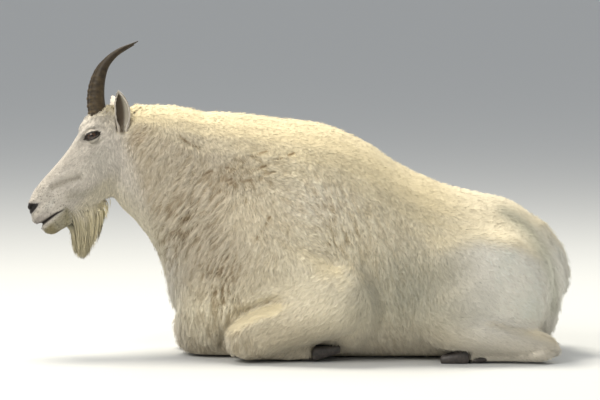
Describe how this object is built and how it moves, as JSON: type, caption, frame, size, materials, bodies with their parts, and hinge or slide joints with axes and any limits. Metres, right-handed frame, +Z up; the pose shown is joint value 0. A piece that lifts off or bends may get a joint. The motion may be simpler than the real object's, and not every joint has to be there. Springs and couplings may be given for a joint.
{
  "type": "mountain goat model",
  "caption": "Life-size still model of a bearded, woolly mountain goat with black horns, lying with its legs folded under it.",
  "frame": {"origin": "on the floor, under the middle of the goat's box", "axes": "+X from the head to the rump, so that the goat faces -X; +Y to the goat's right; +Z up"},
  "size_m": [1.3589, 0.4985, 0.7881],
  "materials": {
    "coat": "woolly, cream white",
    "ear": "short fur, darker inside",
    "horn": "satin, nearly black",
    "eye": "wet gloss, dark brown"
  },
  "bodies": {
    "root": {"cannon_fore_left": "coat", "cannon_fore_right": "coat", "cannon_hind_left": "coat", "cannon_hind_right": "coat", "dewclaw_fore_left_inner": "horn", "dewclaw_fore_left_outer": "horn", "dewclaw_fore_right_inner": "horn", "dewclaw_fore_right_outer": "horn", "dewclaw_hind_left_inner": "horn", "dewclaw_hind_left_outer": "horn", "dewclaw_hind_right_inner": "horn", "dewclaw_hind_right_outer": "horn", "ear_left": "ear", "ear_right": "ear", "eye_left": "eye", "eye_right": "eye", "foreleg_left": "coat", "foreleg_right": "coat", "head": "coat", "hindleg_left": "coat", "hindleg_right": "coat", "hoof_fore_left_inner": "horn", "hoof_fore_left_outer": "horn", "hoof_fore_right_inner": "horn", "hoof_fore_right_outer": "horn", "hoof_hind_left_inner": "horn", "hoof_hind_left_outer": "horn", "hoof_hind_right_inner": "horn", "hoof_hind_right_outer": "horn", "horn_left": "horn", "horn_right": "horn", "lower_jaw": "coat", "neck": "coat", "tail": "coat", "torso": "coat"}
  },
  "joints": []
}
